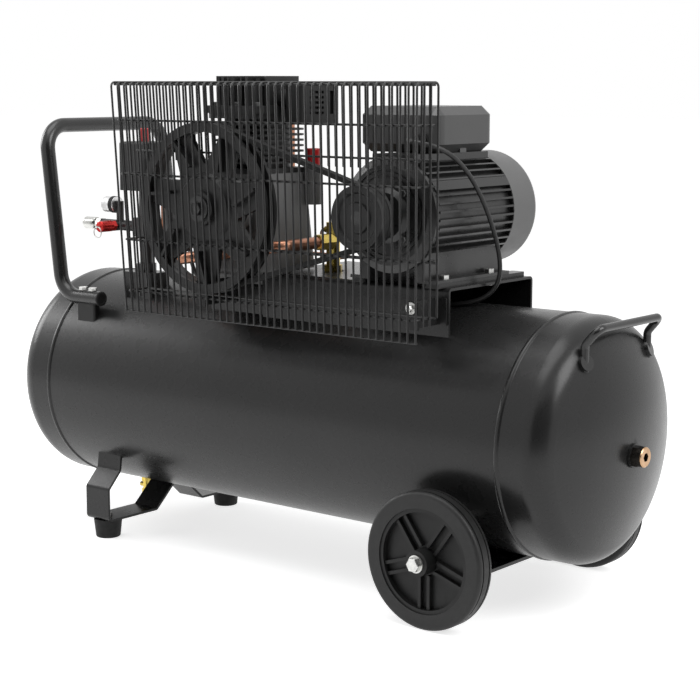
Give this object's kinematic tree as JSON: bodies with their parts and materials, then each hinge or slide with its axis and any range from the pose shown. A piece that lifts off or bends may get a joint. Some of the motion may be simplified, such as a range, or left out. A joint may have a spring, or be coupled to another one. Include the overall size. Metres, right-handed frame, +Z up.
{
  "type": "belt-driven air compressor",
  "caption": "Workshop air compressor: a horizontal receiver on wheels and a foot strap carries a motor, belt-driven piston pump, wire belt guard, handles, switch and outlet fittings.",
  "frame": {"origin": "floor level under the middle of the bounding box, which is also under the middle of the tank", "axes": "+X along the tank towards the wheels, +Y away from the belt guard, +Z up"},
  "size_m": [1.2066, 0.5036, 0.788],
  "materials": {
    "black_paint": "satin",
    "guard_wire": "satin",
    "cast_black": "satin paint",
    "cast_iron": "satin paint",
    "cast_aluminium": "satin paint",
    "motor_grey": "satin paint",
    "cover_grey": "satin",
    "box_grey": "matte",
    "black_plastic": "matte",
    "gauge_case": "gloss",
    "red_plastic": "gloss",
    "black_rubber": "matte",
    "tyre_rubber": "matte",
    "zinc_steel": "zinc plated",
    "brass": "satin",
    "copper": "satin",
    "chrome": "polished"
  },
  "bodies": {
    "base": {"air_filter": "black_plastic", "axle_bolts": "zinc_steel", "cable_glands": "black_plastic", "carry_handle": "black_paint", "check_valve": "brass", "control_manifold": "brass", "crankcase": "cast_black", "cylinder_block": "cast_iron", "cylinder_head": "cast_aluminium", "discharge_pipe": "copper", "drain_cock": "brass", "drive_belt": "black_rubber", "end_cap_left": "black_paint", "end_cap_right": "black_paint", "end_shields": "motor_grey", "fan_cover": "cover_grey", "foot_strap": "black_paint", "frame_bolts": "zinc_steel", "guard_brackets": "black_paint", "guard_ends": "guard_wire", "guard_front": "guard_wire", "guard_rear": "guard_wire", "guard_top": "guard_wire", "handle_clamps": "black_paint", "head_bolts": "zinc_steel", "inspection_plugs": "brass", "motor_cable": "black_rubber", "motor_deck": "black_paint", "motor_frame": "motor_grey", "motor_rails": "black_paint", "outlet_coupler": "chrome", "pressure_gauge": "gauge_case", "pressure_switch": "black_plastic", "pull_handle": "black_paint", "pump_saddle": "black_paint", "rubber_feet": "black_rubber", "safety_valve": "brass", "shaft_bearings": "zinc_steel", "tank_bosses": "black_paint", "tank_shell": "black_paint", "terminal_base": "box_grey", "terminal_lid": "box_grey", "unloader_tube": "copper", "wheel_bracket": "black_paint"},
    "wheel_front": {"wheel_rim_front": "black_plastic", "wheel_tyre_front": "tyre_rubber"},
    "wheel_rear": {"wheel_rim_rear": "black_plastic", "wheel_tyre_rear": "tyre_rubber"},
    "crank": {"crankshaft": "cast_iron", "flywheel": "cast_black", "flywheel_bolt": "zinc_steel"},
    "rotor": {"motor_shaft": "zinc_steel", "motor_pulley": "cast_black", "cooling_fan": "black_plastic"},
    "drain_knob": {"drain_knob": "brass"},
    "switch_knob": {"switch_knob": "red_plastic"},
    "safety_ring": {"safety_ring": "zinc_steel"},
    "coupler_sleeve": {"coupler_sleeve": "chrome"},
    "gauge_needle": {"gauge_needle": "black_plastic"},
    "oil_cap": {"oil_cap": "red_plastic"}
  },
  "joints": [
    {"name": "wheel_front_spin", "type": "hinge", "parent": "base", "child": "wheel_front", "pos_m": [0.374, -0.212, 0.1015], "axis": [0, 1, 0], "continuous": true},
    {"name": "wheel_rear_spin", "type": "hinge", "parent": "base", "child": "wheel_rear", "pos_m": [0.374, 0.212, 0.1015], "axis": [0, 1, 0], "continuous": true},
    {"name": "flywheel_spin", "type": "hinge", "parent": "base", "child": "crank", "pos_m": [-0.065, -0.202, 0.585], "axis": [0, 1, 0], "continuous": true},
    {"name": "motor_spin", "type": "hinge", "parent": "base", "child": "rotor", "pos_m": [0.243, -0.202, 0.585], "axis": [0, 1, 0], "continuous": true},
    {"name": "drain_turn", "type": "hinge", "parent": "base", "child": "drain_knob", "pos_m": [-0.42, 0, 0.05], "axis": [0, 0, 1], "range_deg": [0, 180]},
    {"name": "switch_pull", "type": "slide", "parent": "base", "child": "switch_knob", "axis": [0, 0, 1], "range_m": [0, 0.008]},
    {"name": "safety_pull", "type": "slide", "parent": "base", "child": "safety_ring", "axis": [0, -1, 0], "range_m": [0, 0.004], "stiffness_N_per_m": 800},
    {"name": "sleeve_slide", "type": "slide", "parent": "base", "child": "coupler_sleeve", "axis": [1, 0, 0], "range_m": [0, 0.005], "stiffness_N_per_m": 1000},
    {"name": "needle_turn", "type": "hinge", "parent": "base", "child": "gauge_needle", "pos_m": [-0.4195, -0.08, 0.569], "axis": [1, 0, 0], "range_deg": [0, 270]},
    {"name": "oil_cap_pull", "type": "slide", "parent": "base", "child": "oil_cap", "axis": [0, 0, 1], "range_m": [0, 0.02]}
  ],
  "couplings": [
    {"joint": "motor_spin", "follows": "flywheel_spin", "ratio": 3.0476}
  ]
}
